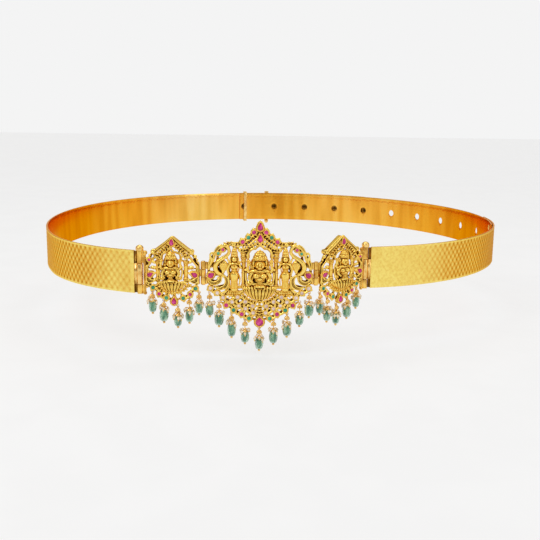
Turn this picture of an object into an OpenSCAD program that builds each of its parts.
// Gold temple-style waist belt, in millimetres.
// +X is the wearer's left as seen from the front, -Y is the front, +Z is up.
// The origin is the middle of the waist, at half the height of the band.

/* [Band] */
// Height of the straps
band_h = 21.8; // [20:0.1:24]
// Thickness of the strap sheet
sheet_t = 1.0; // [0.8:0.1:1.2]
// Radius of the round back of the band, at the middle of the sheet
back_r = 140.5; // [139:0.5:142]
// Clear gap between the two straps where they lap
lap_gap = 0.4; // [0.3:0.1:0.6]
// Angle where the pierced strap's tip lies, from +X towards +Y
tip_angle = 102; // [101:0.5:103]
// Angle where the outer strap's rounded tip lies
outer_tip_angle = 56; // [54:0.5:58]
// Angle where the patterned right strap ends over the pierced strap
right_end_angle = 3; // [1:0.5:4]

/* [Adjusting holes] */
// Number of holes in the pierced strap
hole_count = 10; // [8:1:10]
// Distance between holes along the strap
hole_pitch = 25.4; // [25:0.1:26]
// Diameter of each hole
hole_d = 4.7; // [4:0.1:5]

/* [Plaques] */
// Side plaque, pin to pin
side_w = 31.6; // [31.4:0.1:31.8]
// Centre plaque, pin to pin
centre_w = 56.4; // [56.2:0.1:56.6]
// Turn of the left plaque from the front plane
left_yaw = 0; // [-0.5:0.1:0.5]
// Turn of the centre plaque from the front plane
centre_yaw = 2; // [1.5:0.1:2.5]
// Back of the cast openwork behind the hinge axes
web_back = 0.8; // [0.7:0.1:0.9]
// Front of the openwork and of the round collets
collet_top = 1.4; // [1.3:0.1:1.6]
// Width of the gold rim round a stone
collet_rim = 0.5; // [0.4:0.05:0.6]

/* [Hinges] */
// Radius of the long barrels between a strap and a side plaque
barrel_r = 1.45; // [1.4:0.05:1.5]
// Radius of the draw pins in the long barrels
draw_pin_r = 0.8; // [0.7:0.05:0.85]
// Radius of the barrels between the plaques
small_barrel_r = 1.3; // [1.2:0.05:1.3]
// Radius of the pins between the plaques
small_pin_r = 0.6; // [0.5:0.05:0.65]
// Radial clearance of a running pin
run_clear = 0.06; // [0.04:0.01:0.08]
// Radial clearance where the ring of four hinges closes on the right draw pin
open_clear = 0.3; // [0.25:0.05:0.35]
// Gap between two knuckles
knuckle_gap = 0.3; // [0.25:0.05:0.35]

/* [Drops] */
// Radius of the wire of the rings and bead pins
wire_r = 0.25; // [0.2:0.01:0.28]
// Radius of the ball under each bead
ball_r = 0.65; // [0.6:0.05:0.7]

/* [Hidden] */
$fn = 48;
eps = 0.01;
half_h = band_h / 2;

// Plan of the band: the round back, then arcs forward on each side.
back_mid = [4, 1];
back_from = 12;
back_to = 165;
// Columns: radius, sweep in degrees. The first row goes on from the back.
LEFT_ARCS = [
    [185, 40.0],
    [91, 46.6],
];
RIGHT_ARCS = [
    [143.3, 13.5],
    [124.9, 42.6],
    [110, 33.8],
];
// Turn of one flat of the bent sheet.
flat_turn = 3;

function dir(a) = [cos(a), sin(a)];
function left_start(i) = i == 0 ? back_to : left_start(i - 1) + LEFT_ARCS[i - 1][1];
function left_centre(i) = i == 0
    ? back_mid + (back_r - LEFT_ARCS[0][0]) * dir(left_start(0))
    : left_centre(i - 1) + (LEFT_ARCS[i - 1][0] - LEFT_ARCS[i][0]) * dir(left_start(i));
function right_start(i) = i == 0 ? back_from : right_start(i - 1) - RIGHT_ARCS[i - 1][1];
function right_centre(i) = i == 0
    ? back_mid + (back_r - RIGHT_ARCS[0][0]) * dir(right_start(0))
    : right_centre(i - 1) + (RIGHT_ARCS[i - 1][0] - RIGHT_ARCS[i][0]) * dir(right_start(i));

// Ends of the two front arcs and the hinge axes beyond them.
left_last = len(LEFT_ARCS) - 1;
right_last = len(RIGHT_ARCS) - 1;
left_angle = left_start(left_last) + LEFT_ARCS[left_last][1];
right_angle = right_start(right_last) - RIGHT_ARCS[right_last][1];
left_end = left_centre(left_last) + LEFT_ARCS[left_last][0] * dir(left_angle);
right_end = right_centre(right_last) + RIGHT_ARCS[right_last][0] * dir(right_angle);
hinge_reach = 3.1;
pin_l = left_end + hinge_reach * dir(left_angle + 90);
pin_r = right_end + hinge_reach * dir(right_angle - 90);
pin_a = pin_l + side_w * dir(left_yaw);
pin_b = pin_a + centre_w * dir(centre_yaw);
right_w = norm(pin_r - pin_b);
right_yaw = atan2(pin_r[1] - pin_b[1], pin_r[0] - pin_b[0]);

// Heights of the knuckles of the long barrels.
mid_top = 4.5;
mid_bottom = -6.2;
small_half = 5.6;
small_mid = 1.9;

// Length along the pierced strap.
inner_r = back_r - sheet_t - lap_gap;
hole_step = hole_pitch / inner_r * 180 / PI;
first_hole_angle = tip_angle - 1.4;

// Stones of the centre plaque, right half; every row but those at u = 0 is mirrored.
// Columns: u across, v up, diameter.
CENTRE_RUBIES = [
    [3.0, 20.8, 2.1],
    [8.6, 16.0, 2.1],
    [18.4, 12.1, 1.6],
    [16.7, -16.2, 2.1],
    [8.9, -20.8, 2.1],
];
CENTRE_EMERALDS = [
    [5.7, 18.2, 2.0],
    [20.7, 10.2, 1.5],
    [13.0, -18.7, 2.0],
    [5.2, -23.0, 2.0],
];
CENTRE_WHITES = [
    [24.6, -7.5, 1.9],
    [21.2, -9.9, 1.9],
    [18.3, -12.3, 1.9],
    [13.8, -14.5, 1.9],
    [11.0, -12.0, 1.9],
    [10.4, -16.5, 1.8],
    [7.1, -14.4, 1.9],
    [7.1, -17.9, 1.9],
    [3.4, -16.6, 1.9],
    [3.1, -20.1, 1.9],
];
// Pear stones. Columns: u, v, width, length, turn of the tip from straight up.
CENTRE_PEARS = [
    [0, 23.7, 2.7, 3.9, 0],
    [0, 17.8, 2.7, 3.9, 0],
    [-24.2, -0.7, 2.7, 3.3, -55],
    [24.2, -0.7, 2.7, 3.3, 55],
    [0, -24.6, 3.9, 4.6, 0],
];
// Stones of a side plaque, with +u towards the centre plaque.
SIDE_RUBIES = [
    [-11.0, 6.6, 1.3],
    [-6.2, -10.7, 1.8],
    [9.3, -10.8, 1.8],
];
SIDE_EMERALDS = [
    [-9.2, -7.5, 1.9],
    [12.0, -7.8, 1.9],
    [-2.6, -12.7, 1.9],
    [5.8, -12.8, 1.9],
];
SIDE_PEARS = [
    [0.2, 15.5, 2.3, 3.3, 0],
    [-10.6, -0.7, 2.3, 3.0, -60],
    [11.4, -0.7, 2.4, 3.2, 60],
    [1.2, -14.3, 2.5, 3.4, 0],
];
// Drops. Columns: u, height of the ring that carries it, height of the bead's middle,
// bead width, bead height, way out from the openwork.
CENTRE_DROPS = [
    [-25.0, -10.4, -18.8, 4.0, 5.6, 0.9],
    [-20.3, -15.2, -23.7, 4.8, 6.2, 0.6],
    [-14.0, -21.3, -29.2, 4.3, 6.6, 0.6],
    [-7.2, -24.4, -32.8, 4.4, 5.8, 0.6],
    [0, -28.6, -36.2, 4.3, 6.0, 0.6],
    [7.2, -24.4, -32.8, 4.5, 6.4, 0.6],
    [14.0, -21.3, -29.2, 4.5, 6.0, 0.6],
    [20.3, -15.2, -23.7, 4.3, 5.6, 0.6],
    [25.0, -10.4, -18.7, 4.6, 6.2, 0.9],
];
SIDE_DROPS = [
    [-9.6, -10.2, -17.2, 3.9, 5.8, 0.9],
    [-4.0, -14.8, -21.8, 4.6, 6.2, 0.6],
    [3.0, -17.4, -24.6, 4.0, 5.6, 0.6],
    [8.8, -13.4, -22.1, 4.0, 6.0, 0.6],
    [13.7, -10.4, -17.8, 3.8, 5.4, 0.9],
];

gold = [0.93, 0.74, 0.30];
polished_gold = [0.95, 0.68, 0.22];
ruby = [0.80, 0.12, 0.42];
emerald = [0.10, 0.55, 0.35];
white_stone = [0.96, 0.86, 0.86];
bead_green = [0.42, 0.66, 0.52];

// A sheet bent through arcs that meet. Each arc is centre, radius, from, to, counter-clockwise.
function arc_points(arc, grow, first) =
    let (steps = ceil((arc[3] - arc[2]) / flat_turn))
        [for (i = [first : steps]) arc[0] + (arc[1] + grow) * dir(arc[2] + (arc[3] - arc[2]) * i / steps)];
function face_points(arcs, grow) =
    [for (k = [0 : len(arcs) - 1]) each arc_points(arcs[k], grow, k == 0 ? 0 : 1)];
function reversed(list) = [for (i = [len(list) - 1 : -1 : 0]) list[i]];
module bent_sheet(arcs)
    linear_extrude(band_h, center = true)
        polygon(concat(face_points(arcs, sheet_t / 2), reversed(face_points(arcs, -sheet_t / 2))));

// Frames of the three plaques: u across, v up, w out of the front.
module plaque_frame(at, yaw) {
    translate([at[0], at[1], 0])
        rotate([0, 0, yaw])
            rotate([90, 0, 0])
                children();
}
module on_left() plaque_frame((pin_l + pin_a) / 2, left_yaw) children();
module on_centre() plaque_frame((pin_a + pin_b) / 2, centre_yaw) children();
module on_right() {
    plaque_frame(pin_b + side_w / 2 * dir(right_yaw), right_yaw)
        mirror([1, 0, 0])
            children();
}
// Both halves of a symmetric shape.
module both_halves() {
    children();
    mirror([1, 0, 0]) children();
}

// Knuckle round a vertical axis, with its bore.
module knuckle(at, r, bore, low, high) {
    translate([at[0], at[1], low])
        difference() {
            cylinder(r = r, h = high - low);
            translate([0, 0, -1]) cylinder(r = bore, h = high - low + 2);
        }
}

// End of a strap: the middle knuckle and the tongue that joins it to the sheet.
module strap_knuckle(pin, end, angle) {
    reach = hinge_reach - draw_pin_r - 0.3;
    tongue_in = 1.0;
    knuckle(pin, barrel_r, draw_pin_r + run_clear, mid_bottom + knuckle_gap / 2, mid_top - knuckle_gap / 2);
    translate([end[0], end[1], (mid_top + mid_bottom) / 2])
        rotate([0, 0, angle])
            translate([(reach - tongue_in) / 2, 0, 0])
                cube([reach + tongue_in, sheet_t - 0.2, mid_top - mid_bottom - knuckle_gap], center = true);
}

module left_strap() color(gold) {
    difference() {
        bent_sheet(concat(
            [[back_mid, back_r, outer_tip_angle, back_to]],
            [for (i = [0 : left_last])
                [left_centre(i), LEFT_ARCS[i][0], left_start(i), left_start(i) + LEFT_ARCS[i][1]]]
        ));
        outer_tip_waste();
        knuckle_clearance(pin_l);
    }
    strap_knuckle(pin_l, left_end, left_angle + 90);
}

// Room round a plaque's top and bottom knuckles at the end of a strap.
module knuckle_clearance(pin) {
    translate([pin[0], pin[1], mid_top - knuckle_gap / 2])
        cylinder(r = barrel_r + knuckle_gap, h = band_h);
    translate([pin[0], pin[1], mid_bottom + knuckle_gap / 2 - band_h])
        cylinder(r = barrel_r + knuckle_gap, h = band_h);
}

// What is cut off the outer strap to round its end.
outer_tip_r = half_h + 1;
module outer_tip_waste() {
    sweep = asin(outer_tip_r / back_r);
    translate([back_mid[0], back_mid[1], 0])
        rotate([0, 0, outer_tip_angle + sweep])
            difference() {
                translate([back_r - 10, -2 * outer_tip_r, -band_h])
                    cube([20, 2 * outer_tip_r, 2 * band_h]);
                rotate([0, 90, 0]) cylinder(r = outer_tip_r, h = back_r * 2);
            }
}

// Arcs of the right side from the front to the back, moved inward by a depth.
function right_run(depth, from, to) = [
    for (i = [right_last : -1 : 0])
        let (low = max(right_start(i) - RIGHT_ARCS[i][1], from), high = min(right_start(i), to))
            if (high > low) [right_centre(i), RIGHT_ARCS[i][0] - depth, low, high]
];
module right_strap() color(gold) {
    difference() {
        bent_sheet(right_run(0, right_angle, right_end_angle));
        knuckle_clearance(pin_r);
        on_rivets() cylinder(r = rivet_r + eps * 2, h = 10, center = true);
    }
    strap_knuckle(pin_r, right_end, right_angle - 90);
}

// Two rivets, one above the other, through the right strap and the pierced strap.
rivet_r = 1.0;
rivet_head_r = 1.9;
rivet_angle = -8;
rivet_height = 7.4;
pierced_from = -14;
module on_rivets()
    for (z = [-rivet_height, rivet_height])
        translate([right_centre(1)[0], right_centre(1)[1], z])
            rotate([0, 0, rivet_angle])
                translate([RIGHT_ARCS[1][0], 0, 0])
                    rotate([0, 90, 0])
                        children();
// Depth of one flat's middle below its ends, with a little to spare.
flat_depth = 0.07;
module strap_rivets() color(gold)
    on_rivets() {
        inner_face = -sheet_t * 1.5 - lap_gap - flat_depth;
        translate([0, 0, inner_face - 0.4])
            cylinder(r = rivet_r, h = sheet_t * 2 + lap_gap + flat_depth + 0.8);
        translate([0, 0, inner_face])
            rivet_head(-1);
        translate([0, 0, sheet_t / 2])
            rivet_head(1);
    }
module rivet_head(side) {
    dome_r = 3.4;
    sink = sqrt(dome_r * dome_r - rivet_head_r * rivet_head_r);
    intersection() {
        translate([0, 0, -side * sink]) sphere(r = dome_r);
        translate([0, 0, side > 0 ? 0 : -2]) cylinder(r = rivet_head_r, h = 2);
    }
}

module holed_strap() color(polished_gold)
    difference() {
        bent_sheet(concat(
            right_run(sheet_t + lap_gap, pierced_from, back_from),
            [[back_mid, inner_r, back_from, tip_angle]]
        ));
        for (i = [0 : hole_count - 1])
            translate([back_mid[0], back_mid[1], 0])
                rotate([0, 0, first_hole_angle - i * hole_step])
                    rotate([0, 90, 0])
                        translate([0, 0, inner_r - 5])
                            cylinder(d = hole_d, h = 10);
        on_rivets() cylinder(r = rivet_r + eps * 2, h = 10, center = true);
    }

// Loop that holds the two lapped straps together at the pierced strap's tip.
keeper_angle = 100.2;
keeper_w = 2.4;
keeper_t = 1.0;
module strap_keeper() color(gold)
    difference() {
        keeper_block(sheet_t * 2 + lap_gap + 2 * (keeper_t + 0.2), band_h + 2 * (keeper_t + 0.2), keeper_w);
        keeper_block(sheet_t * 2 + lap_gap + 0.5, band_h + 0.5, keeper_w + 4);
    }
module keeper_block(depth, high, wide) {
    translate([back_mid[0], back_mid[1], 0])
        rotate([0, 0, keeper_angle])
            translate([back_r - (sheet_t + lap_gap) / 2, 0, 0])
                cube([depth, wide, high], center = true);
}

// Spring clip on the outer face: its back, its turned-over top and its thumb knob below.
clip_angle = 92.8;
clip_w = 3.2;
module strap_clip() color(polished_gold)
    translate([back_mid[0], back_mid[1], 0])
        rotate([0, 0, clip_angle]) {
            out = back_r + sheet_t / 2 + 0.3;
            translate([out, -clip_w / 2, -half_h - 1.4]) cube([1, clip_w, band_h + 2.8]);
            translate([out - sheet_t - 0.9, -clip_w / 2, half_h + 0.4]) cube([sheet_t + 1.9, clip_w, 1]);
            translate([out - 0.1, 0, -half_h - 1.9]) sphere(r = 1.5);
        }

// Draw pin: shank, domed head above the barrel.
module draw_pin(pin) {
    head_r = 1.95;
    dome_r = 2.1;
    translate([pin[0], pin[1], 0]) {
        translate([0, 0, -half_h]) cylinder(r = draw_pin_r, h = band_h + 0.5);
        intersection() {
            translate([0, 0, half_h + 0.1 + 0.7]) sphere(r = dome_r);
            translate([0, 0, half_h + 0.1]) cylinder(r = head_r, h = 4);
        }
    }
}
module left_pin() color(gold) draw_pin(pin_l);
module right_pin() color(gold) draw_pin(pin_r);

// Pin between two plaques, closed over at both ends.
module inner_pin(pin) {
    translate([pin[0], pin[1], 0]) {
        cylinder(r = small_pin_r, h = 2 * small_half + 0.4, center = true);
        for (s = [-1, 1])
            translate([0, 0, s * (small_half + 0.25)])
                cylinder(r = small_pin_r + 0.35, h = 0.4, center = true);
    }
}
module inner_pin_left() color(gold) inner_pin(pin_a);
module inner_pin_right() color(gold) inner_pin(pin_b);

// Hinge leaves. In a plaque's frame an axis is a line along v at a given u.
module axis_knuckle(u, r, bore, low, high) {
    translate([u, 0, 0])
        rotate([-90, 0, 0])
            translate([0, 0, low])
                difference() {
                    cylinder(r = r, h = high - low);
                    translate([0, 0, -1]) cylinder(r = bore, h = high - low + 2);
                }
}
// Plate from a gallery's edge to a knuckle.
module leaf_plate(edge, axis, r, low, high) {
    near = axis - sign(axis) * (r - 0.5);
    translate([min(edge, near), low, -0.6])
        cube([abs(near - edge), high - low, 1.2]);
}

// Outer leaf of a side plaque: upright strip with ball ends, top and bottom knuckles.
strip_in = 12.8;
strip_out = 14.0;
module outer_leaf(axis, clear) {
    axis_knuckle(axis, barrel_r, draw_pin_r + clear, mid_top + knuckle_gap / 2, half_h);
    axis_knuckle(axis, barrel_r, draw_pin_r + clear, -half_h, mid_bottom - knuckle_gap / 2);
    leaf_plate(-strip_out + 0.5, axis, barrel_r, mid_top + knuckle_gap / 2, half_h);
    leaf_plate(-strip_out + 0.5, axis, barrel_r, -half_h, mid_bottom - knuckle_gap / 2);
    translate([-strip_out, -half_h, -0.7]) cube([strip_out - strip_in, band_h - 1.6, 1.4]);
    for (u = [-strip_out + 0.32, -strip_in - 0.33])
        translate([u, -half_h + 0.4, 0.6])
            rotate([-90, 0, 0])
                cylinder(r = 0.3, h = band_h - 2.6);
    translate([-strip_in - 0.3, half_h - 1.0, 0]) sphere(r = 1.1);
    translate([-strip_in - 0.5, -half_h + 0.3, 0.2]) sphere(r = 0.9);
}
module inner_leaf() {
    axis_knuckle(side_w / 2, small_barrel_r, small_pin_r + run_clear, -small_mid + knuckle_gap / 2,
                 small_mid - knuckle_gap / 2);
    leaf_plate(side_edge, side_w / 2, small_barrel_r, -small_mid + knuckle_gap / 2,
               small_mid - knuckle_gap / 2);
}
side_edge = 13.8;
module side_leaves(axis, clear) {
    outer_leaf(axis, clear);
    inner_leaf();
}
centre_edge = 26.2;
module centre_half_leaf() {
    for (s = [-1, 1]) {
        low = s > 0 ? small_mid + knuckle_gap / 2 : -small_half;
        high = s > 0 ? small_half : -small_mid - knuckle_gap / 2;
        axis_knuckle(centre_w / 2, small_barrel_r, small_pin_r + 0.02, low, high);
        leaf_plate(centre_edge, centre_w / 2, small_barrel_r, low, high);
    }
}
module left_leaves() color(gold) on_left() side_leaves(-side_w / 2, run_clear);
module centre_leaves() color(gold) on_centre() both_halves() centre_half_leaf();
module right_leaves() color(gold) on_right() side_leaves(side_w / 2 - right_w, open_clear);

// Openwork. A stroke is a flat line of the web, a limb a round one that may rise and taper.
module stroke(points, w) {
    for (i = [1 : len(points) - 1]) {
        d = points[i] - points[i - 1];
        translate(points[i - 1])
            rotate(atan2(d[1], d[0]))
                translate([0, -w / 2])
                    square([norm(d), w]);
    }
    if (len(points) > 2)
        for (i = [1 : len(points) - 2])
            translate(points[i]) circle(r = w / 2, $fn = 5);
}
module web(low = -web_back, high = collet_top)
    translate([0, 0, low]) linear_extrude(high - low) children();

// Round limb swept through points given as u, v, w, radius.
function flat(p) = [p[0], p[1]];
function unit(v) = v / max(norm(v), eps);
function heading(pts, i) =
    unit(flat(pts[min(i + 1, len(pts) - 1)]) - flat(pts[max(i - 1, 0)]));
function limb_ring(p, t, sides) = [
    for (k = [0 : sides - 1])
        let (a = 360 * (k + 0.5) / sides)
            [p[0] - t[1] * p[3] * cos(a), p[1] + t[0] * p[3] * cos(a), p[2] + p[3] * sin(a)]
];
module limb(pts, sides = 5) {
    rings = len(pts);
    verts = [for (i = [0 : rings - 1]) each limb_ring(pts[i], heading(pts, i), sides)];
    walls = [
        for (i = [0 : rings - 2])
            for (k = [0 : sides - 1])
                let (n = (k + 1) % sides)
                    [i * sides + k, (i + 1) * sides + k, (i + 1) * sides + n, i * sides + n]
    ];
    foot = [for (k = [0 : sides - 1]) k];
    head = [for (k = [sides - 1 : -1 : 0]) (rings - 1) * sides + k];
    polyhedron(verts, concat(walls, [foot, head]));
}
module collets(rows)
    for (s = rows)
        translate([s[0], s[1]]) circle(r = s[2] / 2 + collet_rim, $fn = 10);
module pear_outline(s, grow) {
    r = s[2] / 2;
    tip = 0.35;
    lift = s[3] - r - tip;
    translate([s[0], s[1]])
        rotate([0, 0, s[4]])
            translate([0, r - s[3] / 2])
                hull() {
                    circle(r = r + grow, $fn = 9);
                    translate([0, lift]) circle(r = tip + grow, $fn = 5);
                }
}
pear_pocket = 0.5;
pear_top = collet_top + 0.6;
module pear_collet(s) {
    difference() {
        translate([0, 0, -web_back])
            linear_extrude(web_back + pear_top)
                pear_outline(s, collet_rim + 0.15);
        translate([0, 0, pear_top - pear_pocket])
            linear_extrude(2)
                pear_outline(s, 0.04);
    }
}
// Eye under the border that carries a drop, and the post from the border to the eye's rim.
eye_r = 0.95;
eye_hole_r = 0.5;
function eye_at(d) = [d[0], d[1] + eye_hole_r];
module eye(d) {
    translate([eye_at(d)[0], eye_at(d)[1], d[5] - 0.3])
        difference() {
            cylinder(r = eye_r, h = 0.6, $fn = 8);
            translate([0, 0, -1]) cylinder(r = eye_hole_r, h = 3, $fn = 6);
        }
}
module eye_post(from, d) {
    to = eye_at(d) - unit(eye_at(d) - from) * (eye_hole_r + 0.2);
    stroke([from, to], 0.8);
}

// Crowned figure seated cross-legged with four arms.
module seated_figure(v, k) {
    translate([0, v, 0]) scale(k) {
        limb([[0, -4.4, 1.0, 1.2], [0, -2.4, 1.4, 1.5], [0, -0.2, 1.7, 2.3], [0, 1.8, 1.6, 2.0],
              [0, 3.0, 1.6, 0.8]], 6);
        limb([[0, 2.5, 1.9, 0.9], [0, 4.2, 2.1, 1.8], [0, 6.4, 1.8, 1.5]], 6);
        limb([[0, 6.2, 1.6, 2.3], [0, 7.6, 1.7, 2.5], [0, 8.9, 1.5, 1.7], [0, 9.3, 1.4, 0.8],
              [0, 11.6, 1.2, 0.3]], 6);
        both_halves() {
            limb([[1.2, 1.6, 1.6, 0.9], [3.4, 1.2, 1.6, 0.75], [4.6, 3.4, 1.4, 0.6], [4.7, 5.9, 1.5, 0.8]]);
            limb([[1.5, 0.6, 1.6, 0.9], [3.7, -1.4, 1.6, 0.7], [4.5, -4.2, 1.8, 0.8]]);
        }
        limb([[-5.3, -5.3, 1.4, 0.8], [-3.2, -4.9, 1.7, 1.2], [3.2, -4.9, 1.7, 1.2], [5.3, -5.3, 1.4, 0.8]], 6);
    }
}
// Open lotus under the figure: a fan of upright petals.
module lotus(v, half_w, petal_h, count) {
    for (i = [0 : count - 1]) {
        t = 2 * i / (count - 1) - 1;
        foot = [t * half_w * 0.5, v - petal_h * (1 - 0.3 * t * t)];
        head = [t * half_w, v - petal_h * 0.1 * (1 - abs(t))];
        limb([
            [foot[0], foot[1], 0.9, 0.5],
            [(foot[0] + head[0]) / 2, (foot[1] + head[1]) / 2, 1.7 - 0.5 * abs(t), 1.15],
            [head[0], head[1], 1.9 - 0.9 * abs(t), 0.35],
        ], 4);
    }
    web() polygon([
        [-half_w, v], [half_w, v], [half_w * 0.9, v - petal_h * 0.5], [half_w * 0.35, v - petal_h * 0.93],
        [-half_w * 0.35, v - petal_h * 0.93], [-half_w * 0.9, v - petal_h * 0.5],
    ]);
}
module pillar(u, low, high) {
    limb([[u, low, 0.7, 1.15], [u, low + 1.0, 0.7, 1.1], [u, low + 1.3, 0.7, 0.75],
          [u, high - 1.3, 0.7, 0.75], [u, high - 1.0, 0.7, 1.15], [u, high, 0.7, 1.2]]);
}
// Standing attendant with a tall crown.
module attendant(u) {
    limb([[u, -7.6, 0.8, 1.6], [u, -5.0, 0.8, 1.2], [u, -1.0, 1.0, 1.9], [u, 2.6, 1.0, 1.3],
          [u, 5.6, 1.1, 1.9], [u, 7.4, 1.1, 0.8]], 6);
    limb([[u, 7.0, 1.3, 0.7], [u, 9.4, 1.3, 1.5], [u, 12.0, 1.2, 0.95], [u, 14.0, 1.1, 0.3]], 6);
    limb([[u - 1.3, 6.2, 1.1, 0.7], [u - 2.7, 3.4, 1.1, 0.55], [u - 2.0, 0.4, 1.3, 0.55]]);
    limb([[u + 1.3, 6.2, 1.1, 0.7], [u + 2.7, 3.2, 0.9, 0.55], [u + 2.9, -1.6, 0.9, 0.5]]);
}
// Swan with a bent neck and a round wing.
module swan() {
    limb([
        [18.0, 13.2, 1.0, 0.5], [17.0, 14.4, 1.0, 0.9], [15.5, 12.8, 1.0, 0.8], [15.6, 10.2, 1.0, 0.75],
        [18.6, 7.6, 1.0, 0.9], [21.2, 6.2, 1.1, 1.05], [21.6, 3.0, 1.0, 1.1], [18.8, -0.5, 0.8, 0.7],
    ]);
    translate([17.8, 4.4, 0.9]) sphere(r = 2.0, $fn = 7);
    limb([[18.2, 3.4, 0.6, 1.4], [18.9, -0.5, 0.6, 0.6]]);
}

// Sunk ground behind a seated figure, closed between its arms and its body.
ground_high = -0.1;
module ground(at, k)
    web(-web_back, ground_high) translate(at) polygon(k * [
        [-4.7, -7.3], [4.7, -7.3], [5.3, -2.1], [5.1, 2.3], [3.7, 6.9],
        [-3.7, 6.9], [-5.1, 2.3], [-5.3, -2.1],
    ]);

roof_low = -2.0;
module centre_gallery() color(gold) on_centre() {
    both_halves() {
        pillar(8.0, -6.75, 11.05);
        attendant(12.9);
        swan();
        crescents();
        hinge_wings();
    }
    web() both_halves() {
        centre_web();
        collets(concat(CENTRE_RUBIES, CENTRE_EMERALDS, CENTRE_WHITES));
    }
    web(roof_low, collet_top) both_halves() stroke([[0, 21.4], [4.2, 18.9], [8.8, 15.0], [13.9, 14.6]], 1.5);
    for (s = CENTRE_PEARS) pear_collet(s);
    for (d = CENTRE_DROPS) eye(d);
    ground([0, 0], 1);
    seated_figure(-0.9, 0.96);
    lotus(-6.4, 7.8, 6.6, 9);
}
// Inner gable, arch, base line, fan below the lotus and the two borders.
module centre_web() {
    stroke([[0, 15.8], [4.0, 13.6], [8.2, 10.6]], 1.3);
    stroke([[0, 19.0], [0, 14.2], [2.0, 12.6], [4.6, 12.2], [5.6, 10.0], [5.4, 8.0], [8.0, 8.0]], 0.9);
    stroke([[8.0, 10.6], [8.6, 14.8]], 0.9);
    stroke([[7.8, -7.0], [15.6, -7.6], [16.4, -10.6]], 1.6);
    stroke([[13.9, 14.6], [12.9, 12.6], [10.4, 12.4], [8.0, 10.6]], 0.9);
    stroke([[13.5, 14.4], [17.2, 14.2], [18.4, 12.1], [20.7, 10.2], [21.4, 6.4]], 1.2);
    stroke([[0, -12], [0, -26]], 1.0);
    stroke([[3.4, -16.6], [7.1, -14.4], [11.0, -12.0], [15.4, -7.6]], 0.9);
    stroke([[3.1, -20.1], [7.1, -17.9], [10.4, -16.5], [13.8, -14.5], [18.3, -12.3]], 0.9);
    stroke([[0, -24.6], [5.2, -23.0], [8.9, -20.8], [13.0, -18.7], [16.7, -16.2], [18.3, -12.3]], 0.9);
    stroke([[18.3, -12.3], [21.2, -9.9], [24.6, -7.5], [25.2, -3.0]], 0.9);
    stroke([[0, -12.4], [3.4, -16.6], [3.1, -20.1], [0, -24.6]], 0.8);
    stroke([[3.1, -20.1], [5.2, -23.0]], 0.8);
    stroke([[7.1, -14.4], [7.1, -17.9], [8.9, -20.8]], 0.8);
    stroke([[11.0, -12.0], [10.4, -16.5], [13.0, -18.7]], 0.8);
    stroke([[13.8, -14.5], [16.7, -16.2]], 0.8);
    eye_post([24.6, -7.5], CENTRE_DROPS[8]);
    eye_post([16.7, -16.2], CENTRE_DROPS[7]);
    eye_post([13.0, -18.7], CENTRE_DROPS[6]);
    eye_post([8.9, -20.8], CENTRE_DROPS[5]);
    stroke([[7.0, -8.0], [11.0, -12.0]], 1.2);
    stroke([[18.6, -0.8], [25.6, -0.8]], 1.2);
}
// Curling leaves under the swan and beside the attendant.
module crescents() {
    limb([[18.8, 0.2, 0.6, 0.5], [16.4, -3.0, 0.7, 0.8], [17.6, -6.2, 0.7, 0.9], [24.6, -7.5, 0.4, 0.5]]);
    limb([[18.6, -0.4, 0.6, 0.5], [19.4, -3.2, 0.7, 0.9], [22.8, -4.0, 0.7, 0.7], [24.9, -2.4, 0.5, 0.6]]);
    limb([[15.4, -7.2, 0.4, 0.6], [16.2, -10.2, 0.4, 0.5], [18.3, -12.3, 0.4, 0.5]], 4);
    limb([[16.6, -3.0, 0.4, 0.5], [15.2, -0.6, 0.4, 0.5], [14.6, 5.6, 0.4, 0.5]], 4);
}
// Leaves that rise from the hinge and the edge strip beside it.
module hinge_wings() {
    translate([centre_edge - 1.2, -small_half, -0.7]) cube([1.2, 2 * small_half, 1.6]);
    limb([[25.5, 0.4, 0.5, 0.7], [25.3, 4.4, 0.5, 0.8], [23.4, 9.4, 0.5, 0.5]]);
    limb([[25.5, 2.4, 0.4, 0.6], [22.0, 4.6, 0.5, 0.5]], 4);
}

module side_gallery() {
    for (s = SIDE_PEARS) pear_collet(s);
    for (d = SIDE_DROPS) eye(d);
    // Gabled roof, deep from front to back, with its scroll knobs.
    web(roof_low - 0.4) {
        stroke([[-8.8, 10.6], [0.6, 17.6], [9.8, 10.4]], 1.3);
        for (u = [-9.2, 10.0])
            translate([u, 10.4]) circle(r = 1.3, $fn = 10);
    }
    web() {
        side_web();
        collets(concat(SIDE_RUBIES, SIDE_EMERALDS));
    }
    pillar(-6.5, -5.15, 6.25);
    pillar(7.2, -5.15, 6.25);
    ground([-0.7, 1.3], 0.8);
    translate([-0.8, 0, 0]) seated_figure(-0.7, 0.78);
    lotus(-4.85, 6.8, 4.65, 7);
    // Curls between the pillars and the side stones.
    limb([[-11.4, 2.4, 0.5, 0.6], [-7.0, 1.6, 0.5, 0.7]], 4);
    limb([[12.8, 2.4, 0.5, 0.6], [7.6, 1.8, 0.5, 0.7]], 4);
    limb([[-10.6, -2.6, 0.5, 0.8], [-7.0, -4.6, 0.5, 0.8]], 4);
    limb([[11.0, -2.8, 0.5, 0.9], [7.6, -4.8, 0.5, 0.8]], 4);
}
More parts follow.
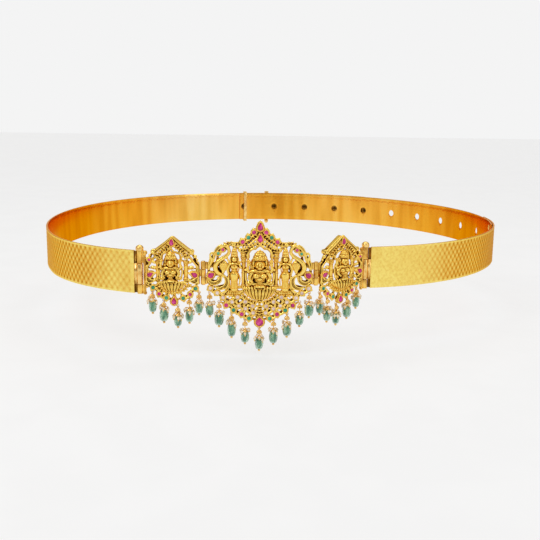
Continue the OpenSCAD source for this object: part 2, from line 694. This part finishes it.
module side_web() {
    // Lower gable, arch and the stays between them.
    stroke([[-12.4, 2.2], [-8.2, 8.2], [0.3, 14.0], [8.4, 8.4], [13.2, 3.2]], 1.1);
    stroke([[9.9, 10.4], [11.4, 7.6], [13.2, 3.6]], 1.0);
    stroke([[-9.2, 10.6], [-11.0, 6.6], [-12.2, 3.2]], 0.9);
    stroke([[-6.5, 5.4], [-4.9, 5.8], [-4.6, 9.2], [-1.6, 10.6], [-0.3, 12.2], [0.8, 10.6], [4.2, 9.4],
            [4.6, 6.2], [7.2, 5.6]], 0.9);
    stroke([[-0.3, 12.0], [0.2, 15.0]], 1.0);
    stroke([[-6.5, 5.8], [-8.2, 8.2], [-9.2, 10.4]], 0.9);
    stroke([[7.2, 5.8], [8.4, 8.4], [9.9, 10.4]], 0.9);
    stroke([[-11.6, -1.6], [-11.6, -5.2], [-9.2, -7.5]], 1.0);
    stroke([[12.6, -2.0], [12.6, -5.2], [12.0, -7.8]], 1.0);
    // Edge strips beside the two hinges.
    translate([-strip_in, -8.0]) square([1.0, 15.6]);
    translate([side_edge - 1.0, -small_half]) square([1.0, 2 * small_half]);
    stroke([[-strip_in + 0.3, -0.7], [-10, -0.7]], 1.2);
    stroke([[side_edge - 0.3, -0.7], [10.6, -0.7]], 1.2);
    // Lower border and its stays.
    stroke([[-9.2, -7.5], [-6.2, -10.7], [-2.6, -12.7], [1.2, -14.3], [5.8, -12.8], [9.3, -10.8],
            [12.0, -7.8]], 0.9);
    stroke([[-11.6, -7.0], [-9.2, -7.5], [-5.4, -6.2]], 0.8);
    stroke([[12.0, -7.8], [6.0, -6.0]], 0.8);
    stroke([[-2.6, -12.7], [-2.2, -8.8]], 0.8);
    stroke([[3.0, -8.8], [5.8, -12.8]], 0.8);
    stroke([[1.2, -14.3], [0.8, -9.0]], 0.9);
    // Short posts to the eyes of the drops.
    eye_post([-9.2, -7.5], SIDE_DROPS[0]);
    eye_post([-4.0, -12.0], SIDE_DROPS[1]);
    eye_post([1.2, -14.3], SIDE_DROPS[2]);
    eye_post([9.3, -10.8], SIDE_DROPS[3]);
    eye_post([12.0, -7.8], SIDE_DROPS[4]);
}
module left_gallery() color(gold) on_left() side_gallery();
module right_gallery() color(gold) on_right() side_gallery();

// Cut stones: a girdle, eight crown facets and a flat table.
module round_stone(s) {
    translate([s[0], s[1], collet_top]) {
        cylinder(d = s[2], h = 0.25, $fn = 8);
        translate([0, 0, 0.25 - eps]) cylinder(d1 = s[2], d2 = s[2] * 0.55, h = 0.45, $fn = 8);
    }
}
module pear_stone(s) {
    floor_w = pear_top - pear_pocket;
    hull() {
        translate([0, 0, floor_w]) linear_extrude(pear_pocket + 0.1) pear_outline(s, -0.04);
        translate([0, 0, floor_w]) linear_extrude(pear_pocket + 0.65) pear_outline(s, -0.45 * s[2] / 2 + 0.05);
    }
}
module mirrored_rows(rows) {
    for (s = rows) round_stone(s);
    for (s = rows) round_stone([-s[0], s[1], s[2]]);
}
module centre_pear(i) color(ruby) on_centre() pear_stone(CENTRE_PEARS[i]);
module left_pear(i) color(ruby) on_left() pear_stone(SIDE_PEARS[i]);
module right_pear(i) color(ruby) on_right() pear_stone(SIDE_PEARS[i]);
module centre_rubies() color(ruby) on_centre() mirrored_rows(CENTRE_RUBIES);
module centre_emeralds() color(emerald) on_centre() mirrored_rows(CENTRE_EMERALDS);
module centre_whites() color(white_stone) on_centre() mirrored_rows(CENTRE_WHITES);
module left_rubies() color(ruby) on_left() for (s = SIDE_RUBIES) round_stone(s);
module right_rubies() color(ruby) on_right() for (s = SIDE_RUBIES) round_stone(s);
module left_emeralds() color(emerald) on_left() for (s = SIDE_EMERALDS) round_stone(s);
module right_emeralds() color(emerald) on_right() for (s = SIDE_EMERALDS) round_stone(s);

// Gold of one drop: the ring through the eye, the leaf-shaped bail, the bead pin and its ball.
ring_r = 0.75;
module drop_gold(d) {
    bead_top = d[2] + d[4] / 2;
    bead_foot = d[2] - d[4] / 2;
    ring_v = d[1] - 0.25;
    bail_v = ring_v - ring_r - 0.9;
    translate([d[0], 0, d[5]]) {
        translate([0, ring_v, 0])
            rotate([0, 90, 0])
                rotate_extrude()
                    translate([ring_r, 0]) circle(r = wire_r, $fn = 16);
        translate([0, bail_v, 0]) sphere(r = 1.0);
        translate([0, bail_v, 0]) rotate([90, 0, 0]) cylinder(r = wire_r, h = bail_v - bead_foot + 0.2);
        translate([0, bead_top + 0.75, 0]) sphere(r = 0.8);
        translate([0, bead_foot - ball_r + 0.05, 0]) sphere(r = ball_r);
    }
}
// Bead: a drilled oval with its pin clear inside.
bead_bore_r = 0.4;
module bead(d) {
    r = d[3] / 2;
    h = d[4] / 2;
    // Circle through the waist and the drilled ends gives the oval's arc.
    end_r = 1.25;
    arc_r = (h * h + (r - end_r) * (r - end_r)) / (2 * (r - end_r));
    translate([d[0], d[2], d[5]])
        rotate([-90, 0, 0])
            difference() {
                rotate_extrude()
                    intersection() {
                        translate([r - arc_r, 0]) circle(r = arc_r, $fn = 120);
                        translate([0, -h]) square([r + 1, 2 * h]);
                    }
                cylinder(r = bead_bore_r, h = 2 * h + 4, center = true);
            }
}
module left_drop_gold() color(gold) on_left() for (d = SIDE_DROPS) drop_gold(d);
module centre_drop_gold() color(gold) on_centre() for (d = CENTRE_DROPS) drop_gold(d);
module right_drop_gold() color(gold) on_right() for (d = SIDE_DROPS) drop_gold(d);
module left_bead(i) color(bead_green) on_left() bead(SIDE_DROPS[i]);
module centre_bead(i) color(bead_green) on_centre() bead(CENTRE_DROPS[i]);
module right_bead(i) color(bead_green) on_right() bead(SIDE_DROPS[i]);

left_strap();
right_strap();
holed_strap();
strap_rivets();
strap_keeper();
strap_clip();
left_pin();
right_pin();
inner_pin_left();
inner_pin_right();
left_leaves();
centre_leaves();
right_leaves();
left_gallery();
centre_gallery();
right_gallery();
centre_pear(0);  // centre_pear_1
centre_pear(1);  // centre_pear_2
centre_pear(2);  // centre_pear_3
centre_pear(3);  // centre_pear_4
centre_pear(4);  // centre_pear_5
left_pear(0);  // left_pear_1
left_pear(1);  // left_pear_2
left_pear(2);  // left_pear_3
left_pear(3);  // left_pear_4
right_pear(0);  // right_pear_1
right_pear(1);  // right_pear_2
right_pear(2);  // right_pear_3
right_pear(3);  // right_pear_4
centre_rubies();
centre_emeralds();
centre_whites();
left_rubies();
left_emeralds();
right_rubies();
right_emeralds();
left_drop_gold();
centre_drop_gold();
right_drop_gold();
left_bead(0);  // left_bead_1
left_bead(1);  // left_bead_2
left_bead(2);  // left_bead_3
left_bead(3);  // left_bead_4
left_bead(4);  // left_bead_5
centre_bead(0);  // centre_bead_1
centre_bead(1);  // centre_bead_2
centre_bead(2);  // centre_bead_3
centre_bead(3);  // centre_bead_4
centre_bead(4);  // centre_bead_5
centre_bead(5);  // centre_bead_6
centre_bead(6);  // centre_bead_7
centre_bead(7);  // centre_bead_8
centre_bead(8);  // centre_bead_9
right_bead(0);  // right_bead_1
right_bead(1);  // right_bead_2
right_bead(2);  // right_bead_3
right_bead(3);  // right_bead_4
right_bead(4);  // right_bead_5
